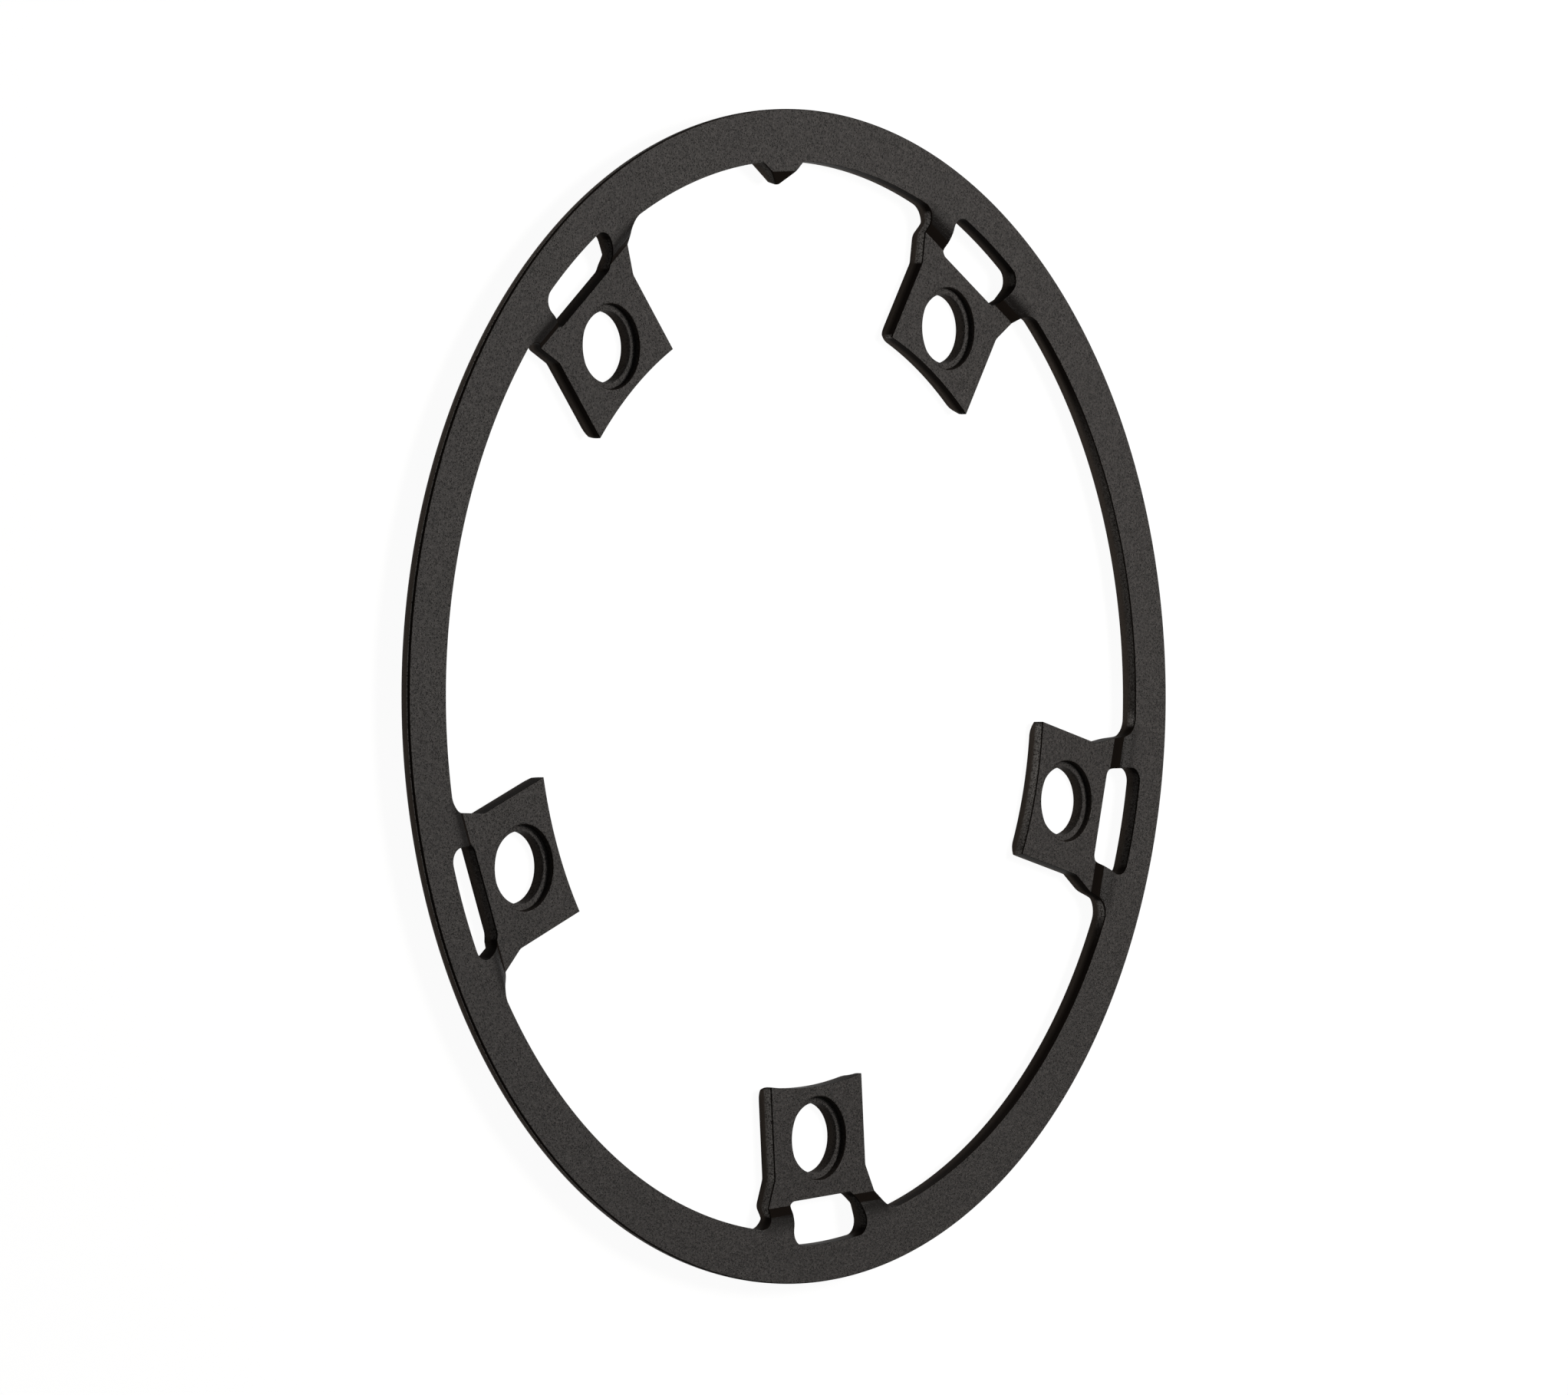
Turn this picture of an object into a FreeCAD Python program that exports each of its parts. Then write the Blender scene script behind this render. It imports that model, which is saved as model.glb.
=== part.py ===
import FreeCAD, Part
import math
import os

import Sketcher

# Chainring guard: one ring stamped from sheet, with recessed bolt tabs and a bevelled pointer.
# The origin is the centre of the bolt circle on the rear faces of the tabs, with +Z
# out of the ring's front face. One tab points along -Y and the pointer is on +Y.

# Driving dimensions, in millimetres and degrees.
driving_sizes = {
    "boltCircle": 130.0,  # circle through the bolt holes
    "tabCount": 5,  # tabs round the ring
    "sheet": 2.8,  # thickness of the sheet
    "holeDiameter": 10.3,  # clearance hole for a bolt sleeve
    "ledge": 1.2,  # ledge of the counterbore, all round the hole
    "ledgeDepth": 1.0,  # depth of the counterbore below the tab's front
    "tabEndWall": 1.25,  # counterbore to the tab's inner end
    "tabSideWall": 3.95,  # counterbore to the tab's straight sides
    "slotWall": 2.3,  # counterbore to the slot
    "footGap": 0.4,  # slot's straight edge to the foot of the ramp
    "rampRun": 1.75,  # ramp, measured along the radius
    "recess": 1.5,  # tab's front below the ring's front
    "rearShift": 0.1,  # rear ramp outside the front ramp
    "shoulder": 2.5,  # top of the ramp to the ring's inner edge
    "slotBite": 2.0,  # slot's reach into the ring's band
    "slotBand": 5.56,  # band left outside the slot
    "flareLength": 4.05,  # start of the flare to the foot of the ramp
    "flareAngle": 23.8,  # flare of the tab's sides
    "kinkRound": 1.5,  # round where the flare starts
    "rootRound": 3.0,  # round from the flare into the ring
    "legWidth": 4.72,  # leg of sheet beside the slot
    "slotEndAngle": 15.7,  # slant of the slot's ends
    "slotTabRound": 1.4,  # slot's corners on the tab side
    "slotRingRound": 2.0,  # slot's corners on the ring side
    "rimRound": 2.3,  # rounded rear edge of the rim
    "bendRound": 1.0,  # outside of the bends at the ramp
    "frontHollow": 0.3,  # inside of the bend at the front foot of the ramp
    "rearHollow": 0.6,  # inside of the bend at the rear top of the ramp
    "edgeRound": 0.4,  # rear edges drawn over by the punch
    "pointerNeck": 1.85,  # ring's inner edge to the pointer's corners
    "pointerWidth": 4.7,  # width at the corners
    "pointerSpread": 52.0,  # slant of the neck's sides
    "pointerRound": 1.5,  # round from the neck into the ring
    "pointerReach": 3.4,  # ring's inner edge to the tip
    "pointerTip": 1.2,  # round at the tip
    "bevelGap": 1.55,  # ring's inner edge to the start of the bevel
    "bevelAngle": 39.0,  # slope of the pointer's front towards the tip
}

# Sizes worked out from the driving ones, as expressions, from the centre outwards.
bolt_radius = "Sizes.boltCircle / 2"
ledge_radius = "(Sizes.holeDiameter / 2 + Sizes.ledge)"
tab_half = f"({ledge_radius} + Sizes.tabSideWall)"
tab_end = f"({bolt_radius} - {ledge_radius} - Sizes.tabEndWall)"
slot_inner = f"({bolt_radius} + {ledge_radius} + Sizes.slotWall)"
ramp_foot = f"({slot_inner} + Sizes.footGap)"
ramp_top = f"({ramp_foot} + Sizes.rampRun)"
flare_start = f"({ramp_foot} - Sizes.flareLength)"
ring_inner = f"({ramp_top} + Sizes.shoulder)"
slot_outer = f"({ring_inner} + Sizes.slotBite)"
ring_outer = f"({slot_outer} + Sizes.slotBand)"
root_depth = f"({ring_inner} + Sizes.slotBite / 2)"
slot_half = (
    f"({tab_half} + ({slot_inner} - {flare_start}) * tan(Sizes.flareAngle) - Sizes.legWidth)"
)
front_level = "(Sizes.recess + Sizes.sheet)"
cut_width = f"2 * ({tab_half} + Sizes.rootRound + Sizes.legWidth)"
pointer_corner = f"({ring_inner} - Sizes.pointerNeck)"
tip_centre = f"({ring_inner} - Sizes.pointerReach + Sizes.pointerTip)"
bevel_start = f"({ring_inner} - Sizes.bevelGap)"
bevel_run = "((Sizes.pointerReach - Sizes.bevelGap) / cos(Sizes.bevelAngle))"
rim_round = "min(Sizes.rimRound; 0.9 * Sizes.sheet)"

cut_margin = 1.0  # how far a cutting profile runs past the sheet

# Geometry index and point number of the origin in every sketch.
origin_point = (-1, 1)

doc = FreeCAD.newDocument("chainring_guard")
sheet = doc.addObject("Spreadsheet::Sheet", "Sizes")
for row, (alias, number) in enumerate(driving_sizes.items(), start=1):
    sheet.set(f"A{row}", str(number))
    sheet.setAlias(f"A{row}", alias)
doc.recompute()

body = doc.addObject("PartDesign::Body", "chainring_guard")
body.Label = "chainring_guard"


def size(expression):
    """The present value of an expression, as a plain number."""
    found = sheet.evalExpression(expression)
    return float(getattr(found, "Value", found))


def point(x, y):
    return FreeCAD.Vector(x, y, 0)


def line(sketch, start, end):
    return sketch.addGeometry(Part.LineSegment(start, end), False)


def arc(sketch, centre, start, end):
    """An arc that turns anticlockwise from start to end."""
    radius = (start - centre).Length
    angles = [math.atan2(p.y - centre.y, p.x - centre.x) for p in (start, end)]
    circle = Part.Circle(centre, FreeCAD.Vector(0, 0, 1), radius)
    return sketch.addGeometry(Part.ArcOfCircle(circle, *angles), False)


def constrain(sketch, kind, *references):
    sketch.addConstraint(Sketcher.Constraint(kind, *references))


def mirror(sketch, first, second):
    """Makes two points mirror images across the sketch's vertical axis."""
    constrain(sketch, "Symmetric", *first, *second, -2)


def centre_on_axis(sketch, curve):
    """Keeps the centre of a round on the sketch's vertical axis."""
    constrain(sketch, "PointOnObject", curve, 3, -2)


def dimension(sketch, kind, references, expression, name):
    """A named dimension that follows the spreadsheet."""
    value = size(expression)
    if kind == "Angle":
        value = math.radians(value)
        expression = f"({expression}) * 1 deg"
    index = sketch.addConstraint(Sketcher.Constraint(kind, *references, value))
    sketch.renameConstraint(index, name)
    sketch.setExpression(f"Constraints.{name}", expression)


def add_sketch(name, support, height=None):
    """A sketch on one of the body's planes, raised to a height where one is given."""
    sketch = body.newObject("Sketcher::SketchObject", name)
    sketch.AttachmentSupport = [(support, "")]
    sketch.MapMode = "FlatFace"
    if height is not None:
        sketch.setExpression("AttachmentOffset.Base.z", height)
    return sketch


def origin_feature(role):
    return next(f for f in body.Origin.OriginFeatures if f.Role == role)


def add_cut(name, sketch, width=None):
    """A pocket through the whole sheet, or to a width shared by both sides of the sketch."""
    before = body.Shape.Volume
    pocket = body.newObject("PartDesign::Pocket", name)
    pocket.Profile = sketch
    pocket.SideType = "Symmetric"
    if width is None:
        pocket.Type = "ThroughAll"
    else:
        pocket.setExpression("Length", width)
    doc.recompute()
    if not body.Shape.Volume < before:
        raise RuntimeError(f"{name} cuts nothing")
    return pocket


def add_ring():
    """The share of the ring's band that carries one tab, with the rear edge of its rim rounded."""
    sketch = add_sketch("RingSection", origin_feature("YZ_Plane"))
    inner = size(ring_inner)
    outer = size(ring_outer)
    low = size("Sizes.recess")
    high = size(front_level)
    rounding = size(rim_round)
    rear = line(sketch, point(-inner, low), point(rounding - outer, low))
    corner = arc(
        sketch,
        point(rounding - outer, low + rounding),
        point(-outer, low + rounding),
        point(rounding - outer, low),
    )
    rim = line(sketch, point(-outer, low + rounding), point(-outer, high))
    front = line(sketch, point(-outer, high), point(-inner, high))
    wall = line(sketch, point(-inner, high), point(-inner, low))
    constrain(sketch, "Tangent", rear, 2, corner, 2)
    constrain(sketch, "Tangent", corner, 1, rim, 1)
    constrain(sketch, "Coincident", rim, 2, front, 1)
    constrain(sketch, "Coincident", front, 2, wall, 1)
    constrain(sketch, "Coincident", wall, 2, rear, 1)
    constrain(sketch, "Horizontal", rear)
    constrain(sketch, "Vertical", rim)
    constrain(sketch, "Horizontal", front)
    constrain(sketch, "Vertical", wall)
    dimension(sketch, "DistanceX", (wall, 2, *origin_point), ring_inner, "innerRadius")
    dimension(sketch, "DistanceX", (rim, 2, *origin_point), ring_outer, "outerRadius")
    dimension(sketch, "DistanceY", (*origin_point, wall, 2), "Sizes.recess", "rearHeight")
    dimension(sketch, "DistanceY", (*origin_point, wall, 1), front_level, "frontHeight")
    dimension(sketch, "Radius", (corner,), rim_round, "rimRadius")
    ring = body.newObject("PartDesign::Revolution", "Ring")
    ring.Profile = sketch
    ring.ReferenceAxis = (sketch, ["V_Axis"])
    ring.Midplane = True
    ring.setExpression("Angle", "360 deg / Sizes.tabCount")
    doc.recompute()


def root_points(start, slant, radius, side):
    """Where a straight side that leaves start at a slant runs into the ring by a tangent arc.

    The side runs away from the centre, along -Y, and the slant opens it towards +X or -X.
    """
    along = point(side * math.sin(slant), -math.cos(slant))
    across = point(side * math.cos(slant), math.sin(slant))
    inner = size(ring_inner)
    base = start + across * radius
    half = base.dot(along)
    reach = -half + math.sqrt(half**2 - base.Length**2 + (inner - radius) ** 2)
    tangent = start + along * reach
    centre = tangent + across * radius
    on_ring = centre * (inner / (inner - radius))
    in_band = centre * (size(root_depth) / (inner - radius))
    return tangent, centre, on_ring, in_band


def add_root(sketch, start, slant, radius, side):
    """A slanted side, the arc that blends it into the ring, and a radial line into the band."""
    tangent, centre, on_ring, in_band = root_points(start, slant, radius, side)
    flare = line(sketch, start, tangent)
    if side > 0:
        blend = arc(sketch, centre, tangent, on_ring)
        near, far = 1, 2
    else:
        blend = arc(sketch, centre, on_ring, tangent)
        near, far = 2, 1
    spoke = line(sketch, on_ring, in_band)
    constrain(sketch, "Tangent", flare, 2, blend, near)
    constrain(sketch, "Perpendicular", blend, far, spoke, 1)
    constrain(sketch, "PointOnObject", *origin_point, spoke)
    return flare, blend, spoke, (blend, far), in_band


def close_in_band(sketch, left, right):
    """Two roots joined by an arc inside the ring's band, with the sizes that both share."""
    left_blend, left_spoke, left_foot = left[1:4]
    right_blend, right_spoke, right_foot = right[1:4]
    closing = arc(sketch, point(0, 0), left[4], right[4])
    constrain(sketch, "Coincident", closing, 3, *origin_point)
    constrain(sketch, "Coincident", closing, 1, left_spoke, 2)
    constrain(sketch, "Coincident", closing, 2, right_spoke, 2)
    constrain(sketch, "Equal", left_blend, right_blend)
    dimension(sketch, "Radius", (closing,), root_depth, "rootDepth")
    dimension(sketch, "Distance", (*origin_point, *right_foot), ring_inner, "ringInner")
    mirror(sketch, left_foot, right_foot)


def add_tab_blank():
    """The tab's outline, as high as the ring's front, before the recess and the ramp."""
    sketch = add_sketch("TabOutline", origin_feature("XY_Plane"))
    half = size(tab_half)
    end_radius = size(tab_end)
    start_depth = -size(flare_start)
    slant = math.radians(size("Sizes.flareAngle"))
    end_depth = -math.sqrt(end_radius**2 - half**2)
    rounding = size("Sizes.kinkRound")
    reach = rounding * math.tan(slant / 2)
    sides = []
    for side in (-1, 1):
        straight = line(sketch, point(side * half, end_depth), point(side * half, start_depth + reach))
        kink_end = point(side * (half + reach * math.sin(slant)), start_depth - reach * math.cos(slant))
        kink_centre = point(side * (half + rounding), start_depth + reach)
        root = add_root(sketch, kink_end, slant, size("Sizes.rootRound"), side)
        kink_start = point(side * half, start_depth + reach)
        if side > 0:
            kink = arc(sketch, kink_centre, kink_start, kink_end)
            first, last = 1, 2
        else:
            kink = arc(sketch, kink_centre, kink_end, kink_start)
            first, last = 2, 1
        constrain(sketch, "Vertical", straight)
        constrain(sketch, "Tangent", straight, 2, kink, first)
        constrain(sketch, "Tangent", kink, last, root[0], 1)
        sides.append((straight, kink, root))
    (left_side, left_kink, left_root), (right_side, right_kink, right_root) = sides
    end = arc(sketch, point(0, 0), point(-half, end_depth), point(half, end_depth))
    constrain(sketch, "Coincident", end, 3, *origin_point)
    constrain(sketch, "Coincident", end, 1, left_side, 1)
    constrain(sketch, "Coincident", end, 2, right_side, 1)
    close_in_band(sketch, left_root, right_root)
    constrain(sketch, "Equal", left_kink, right_kink)
    mirror(sketch, (left_side, 2), (right_side, 2))
    corner = sketch.addGeometry(Part.Point(point(half, start_depth)), True)
    constrain(sketch, "PointOnObject", corner, 1, right_side)
    constrain(sketch, "PointOnObject", corner, 1, right_root[0])
    dimension(sketch, "DistanceY", (corner, 1, *origin_point), flare_start, "flareStart")
    dimension(sketch, "DistanceX", (*origin_point, right_side, 1), tab_half, "halfWidth")
    dimension(sketch, "Radius", (end,), tab_end, "endRadius")
    dimension(sketch, "Radius", (right_kink,), "Sizes.kinkRound", "kinkRadius")
    dimension(sketch, "Radius", (right_root[1],), "Sizes.rootRound", "rootRadius")
    dimension(sketch, "Angle", (right_root[0],), "Sizes.flareAngle - 90", "flareAngle")
    pad = body.newObject("PartDesign::Pad", "TabBlank")
    pad.Profile = sketch
    pad.setExpression("Length", front_level)
    doc.recompute()
    return pad


def add_profile(name, corners, named_dimensions):
    """A closed outline of straight lines on the plane through the tab's middle.

    Each dimension is an expression for how far a corner lies along -Y or +Z from the origin.
    """
    sketch = add_sketch(name, origin_feature("YZ_Plane"))
    count = len(corners)
    edges = [line(sketch, corners[i], corners[(i + 1) % count]) for i in range(count)]
    for i in range(count):
        constrain(sketch, "Coincident", edges[i], 2, edges[(i + 1) % count], 1)
        start = corners[i]
        end = corners[(i + 1) % count]
        if abs(start.y - end.y) < 1e-9:
            constrain(sketch, "Horizontal", edges[i])
        elif abs(start.x - end.x) < 1e-9:
            constrain(sketch, "Vertical", edges[i])
    for dimension_name, corner, kind, expression in named_dimensions:
        if kind == "DistanceX":
            references = (edges[corner], 1, *origin_point)
        elif corners[corner].y < 0:
            references = (edges[corner], 1, *origin_point)
        else:
            references = (*origin_point, edges[corner], 1)
        dimension(sketch, kind, references, expression, dimension_name)
    return sketch


def add_front_recess():
    """Takes the front of the tab down to its recess, with the ramp that leads there."""
    low = "Sizes.sheet"
    high = f"({front_level} + {cut_margin})"
    start = f"({tab_end} - {tab_half} - {cut_margin})"
    corners = [
        point(-size(start), size(low)),
        point(-size(ramp_foot), size(low)),
        point(-size(ramp_top), size(front_level)),
        point(-size(ramp_top), size(high)),
        point(-size(start), size(high)),
    ]
    named_dimensions = [
        ("recessStart", 0, "DistanceX", start),
        ("tabFront", 0, "DistanceY", low),
        ("rampFoot", 1, "DistanceX", ramp_foot),
        ("rampTop", 2, "DistanceX", ramp_top),
        ("ringFront", 2, "DistanceY", front_level),
        ("cutTop", 3, "DistanceY", high),
    ]
    sketch = add_profile("RecessProfile", corners, named_dimensions)
    return add_cut("FrontRecess", sketch, cut_width)


def add_rear_relief():
    """Takes the sheet behind the ring away, with the ramp that leads to the tab's rear."""
    foot = f"({ramp_foot} + Sizes.rearShift)"
    top = f"({ramp_top} + Sizes.rearShift)"
    far = f"({ring_outer} + {cut_margin})"
    corners = [
        point(-size(foot), 0),
        point(-size(top), size("Sizes.recess")),
        point(-size(far), size("Sizes.recess")),
        point(-size(far), -cut_margin),
        point(-size(foot), -cut_margin),
    ]
    sketch = add_sketch("ReliefProfile", origin_feature("YZ_Plane"))
    count = len(corners)
    edges = [line(sketch, corners[i], corners[(i + 1) % count]) for i in range(count)]
    ramp, ceiling, outside, floor, wall = edges
    for i in range(count):
        constrain(sketch, "Coincident", edges[i], 2, edges[(i + 1) % count], 1)
    constrain(sketch, "Horizontal", ceiling)
    constrain(sketch, "Vertical", outside)
    constrain(sketch, "Horizontal", floor)
    constrain(sketch, "Vertical", wall)
    constrain(sketch, "PointOnObject", ramp, 1, -1)
    dimension(sketch, "DistanceX", (ramp, 1, *origin_point), foot, "rearFoot")
    dimension(sketch, "DistanceX", (ceiling, 1, *origin_point), top, "rearTop")
    dimension(sketch, "DistanceY", (*origin_point, ceiling, 1), "Sizes.recess", "ringRear")
    dimension(sketch, "DistanceX", (outside, 1, *origin_point), far, "cutEnd")
    dimension(sketch, "DistanceY", (floor, 1, *origin_point), str(cut_margin), "cutFloor")
    return add_cut("RearRelief", sketch, cut_width)


def add_slot():
    """The slot across the ramp: straight on the tab's side and round with the ring outside."""
    sketch = add_sketch("SlotOutline", origin_feature("XY_Plane"))
    half = size(slot_half)
    inner = size(slot_inner)
    outer = size(slot_outer)
    slant = math.radians(size("Sizes.slotEndAngle"))
    inner_round = size("Sizes.slotTabRound")
    outer_round = size("Sizes.slotRingRound")
    reach = inner_round * math.tan((math.pi / 2 - slant) / 2)
    sides = []
    for side in (-1, 1):
        along = point(side * math.sin(slant), -math.cos(slant))
        inward = point(-side * math.cos(slant), -math.sin(slant))
        corner = point(side * half, -inner)
        flat_end = corner - point(side * reach, 0)
        slant_start = corner + along * reach
        near_centre = flat_end + point(0, -inner_round)
        base = slant_start + inward * outer_round
        middle = base.dot(along)
        travel = -middle + math.sqrt(middle**2 - base.Length**2 + (outer - outer_round) ** 2)
        slant_end = slant_start + along * travel
        far_centre = base + along * travel
        arc_end = far_centre * (outer / (outer - outer_round))
        end = line(sketch, slant_start, slant_end)
        if side > 0:
            near = arc(sketch, near_centre, slant_start, flat_end)
            far = arc(sketch, far_centre, arc_end, slant_end)
            first, last = 1, 2
        else:
            near = arc(sketch, near_centre, flat_end, slant_start)
            far = arc(sketch, far_centre, slant_end, arc_end)
            first, last = 2, 1
        constrain(sketch, "Tangent", near, first, end, 1)
        constrain(sketch, "Tangent", end, 2, far, last)
        sides.append((near, end, far, first, last, flat_end, arc_end))
    left, right = sides
    flat = line(sketch, left[5], right[5])
    outside = arc(sketch, point(0, 0), left[6], right[6])
    constrain(sketch, "Tangent", flat, 1, left[0], left[4])
    constrain(sketch, "Tangent", flat, 2, right[0], right[4])
    constrain(sketch, "Tangent", outside, 1, left[2], left[3])
    constrain(sketch, "Tangent", outside, 2, right[2], right[3])
    constrain(sketch, "Coincident", outside, 3, *origin_point)
    constrain(sketch, "Horizontal", flat)
    constrain(sketch, "Equal", left[0], right[0])
    constrain(sketch, "Equal", left[2], right[2])
    mirror(sketch, (left[1], 1), (right[1], 1))
    corner = sketch.addGeometry(Part.Point(point(half, -inner)), True)
    constrain(sketch, "PointOnObject", corner, 1, flat)
    constrain(sketch, "PointOnObject", corner, 1, right[1])
    dimension(sketch, "DistanceX", (*origin_point, corner, 1), slot_half, "slotHalf")
    dimension(sketch, "DistanceY", (flat, 1, *origin_point), slot_inner, "slotInner")
    dimension(sketch, "Radius", (outside,), slot_outer, "slotOuter")
    dimension(sketch, "Radius", (right[0],), "Sizes.slotTabRound", "tabRound")
    dimension(sketch, "Radius", (right[2],), "Sizes.slotRingRound", "ringRound")
    dimension(sketch, "Angle", (right[1],), "Sizes.slotEndAngle - 90", "endAngle")
    return add_cut("Slot", sketch)


def add_hole():
    """The bolt hole, counterbored from the tab's front."""
    sketch = add_sketch("HoleCentre", origin_feature("XY_Plane"), "Sizes.sheet")
    centre = point(0, -size(bolt_radius))
    radius = size("Sizes.holeDiameter / 2")
    circle = sketch.addGeometry(Part.Circle(centre, FreeCAD.Vector(0, 0, 1), radius), False)
    centre_on_axis(sketch, circle)
    dimension(sketch, "DistanceY", (circle, 3, *origin_point), bolt_radius, "boltRadius")
    dimension(sketch, "Radius", (circle,), "Sizes.holeDiameter / 2", "holeRadius")
    doc.recompute()
    before = body.Shape.Volume
    hole = body.newObject("PartDesign::Hole", "BoltHole")
    hole.Profile = sketch
    hole.DepthType = "ThroughAll"
    hole.HoleCutType = "Counterbore"
    hole.HoleCutCustomValues = True
    hole.setExpression("Diameter", "Sizes.holeDiameter")
    hole.setExpression("HoleCutDiameter", f"2 * {ledge_radius}")
    hole.setExpression("HoleCutDepth", "Sizes.ledgeDepth")
    doc.recompute()
    if not body.Shape.Volume < before:
        raise RuntimeError("BoltHole cuts nothing")
    return hole


def bend_edges(radius, height):
    """Names of the straight edges across the tab at a distance from the centre and a height."""
    names = []
    for number, edge in enumerate(body.Shape.Edges, start=1):
        ends = [vertex.Point for vertex in edge.Vertexes]
        level = all(abs(end.z - size(height)) < 1e-5 for end in ends)
        across = all(abs(end.y + size(radius)) < 1e-5 for end in ends)
        if level and across:
            names.append(f"Edge{number}")
    return names


def rear_edges():
    """Names of the edges where an upright wall meets the rear of the sheet."""
    faces_of = {}
    for face in body.Shape.Faces:
        for edge in face.Edges:
            faces_of.setdefault(edge.hashCode(), []).append(face)
    limit = math.pi / size("Sizes.tabCount")
    names = []
    for number, edge in enumerate(body.Shape.Edges, start=1):
        middle = edge.valueAt((edge.FirstParameter + edge.LastParameter) / 2)
        heading = abs(math.atan2(middle.x, -middle.y))
        normals = [face.normalAt(*face.Surface.parameter(middle)) for face in faces_of[edge.hashCode()]]
        rear = min(normal.z for normal in normals)
        wall = max(normal.z for normal in normals)
        if rear < -0.3 and abs(wall) < 0.05 and heading < limit - 1e-4:
            names.append(f"Edge{number}")
    return names


def add_fillet(name, edges, radius):
    base = body.Tip
    fillet = body.newObject("PartDesign::Fillet", name)
    fillet.Base = (base, edges)
    fillet.setExpression("Radius", radius)
    doc.recompute()


def round_edges():
    """Rounds the bends at the ramp and then the rear edges of the sheet."""
    rear_foot = f"({ramp_foot} + Sizes.rearShift)"
    rear_top = f"({ramp_top} + Sizes.rearShift)"
    outside = bend_edges(ramp_top, front_level) + bend_edges(rear_foot, "0")
    add_fillet("BendOutside", outside, "Sizes.bendRound")
    add_fillet("FrontBendInside", bend_edges(ramp_foot, "Sizes.sheet"), "Sizes.frontHollow")
    add_fillet("RearBendInside", bend_edges(rear_top, "Sizes.recess"), "Sizes.rearHollow")
    add_fillet("RearEdges", rear_edges(), "Sizes.edgeRound")


def add_pattern():
    """Repeats the tab and its share of the ring round the axis."""
    pattern = body.newObject("PartDesign::PolarPattern", "Tabs")
    pattern.TransformMode = "Whole shape"
    pattern.Axis = (origin_feature("Z_Axis"), [""])
    pattern.Angle = 360
    pattern.setExpression("Occurrences", "Sizes.tabCount")
    body.Tip = pattern
    doc.recompute()


def add_pointer():
    """The pointer on the ring's inner edge: a blunt V as thick as the sheet."""
    turn = add_plane("PointerPlane", origin_feature("XY_Plane"), FreeCAD.Vector(0, 0, 1))
    turn.setExpression(
        "AttachmentOffset.Rotation.Angle",
        "180 deg * (1 + mod(Sizes.tabCount + 1; 2) / Sizes.tabCount)",
    )
    sketch = add_sketch("PointerOutline", turn, "Sizes.recess")
    half = size("Sizes.pointerWidth / 2")
    corner = size(pointer_corner)
    rounding = size("Sizes.pointerTip")
    slant = math.radians(size("Sizes.pointerSpread"))
    left, right = [
        add_root(sketch, point(side * half, -corner), slant, size("Sizes.pointerRound"), side)
        for side in (-1, 1)
    ]
    centre = point(0, -size(tip_centre))
    away = point(half, -corner) - centre
    opening = math.atan2(away.y, away.x) + math.acos(rounding / away.Length)
    touch = point(math.cos(opening), math.sin(opening)) * rounding
    mirrored = point(-touch.x, touch.y)
    right_side = line(sketch, point(half, -corner), centre + touch)
    left_side = line(sketch, centre + mirrored, point(-half, -corner))
    nose = arc(sketch, centre, centre + touch, centre + mirrored)
    constrain(sketch, "Coincident", right_side, 1, right[0], 1)
    constrain(sketch, "Coincident", left_side, 2, left[0], 1)
    constrain(sketch, "Tangent", right_side, 2, nose, 1)
    constrain(sketch, "Tangent", nose, 2, left_side, 1)
    mirror(sketch, (left_side, 2), (right_side, 1))
    centre_on_axis(sketch, nose)
    close_in_band(sketch, left, right)
    dimension(sketch, "DistanceY", (right_side, 1, *origin_point), pointer_corner, "cornerRadius")
    dimension(sketch, "DistanceX", (*origin_point, right_side, 1), "Sizes.pointerWidth / 2", "cornerHalf")
    dimension(sketch, "DistanceY", (nose, 3, *origin_point), tip_centre, "tipCentre")
    dimension(sketch, "Radius", (nose,), "Sizes.pointerTip", "tipRadius")
    dimension(sketch, "Radius", (right[1],), "Sizes.pointerRound", "neckRound")
    dimension(sketch, "Angle", (right[0],), "Sizes.pointerSpread - 90", "neckAngle")
    pad = body.newObject("PartDesign::Pad", "Pointer")
    pad.Profile = sketch
    pad.setExpression("Length", "Sizes.sheet")
    doc.recompute()
    add_bevel(turn)


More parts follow.
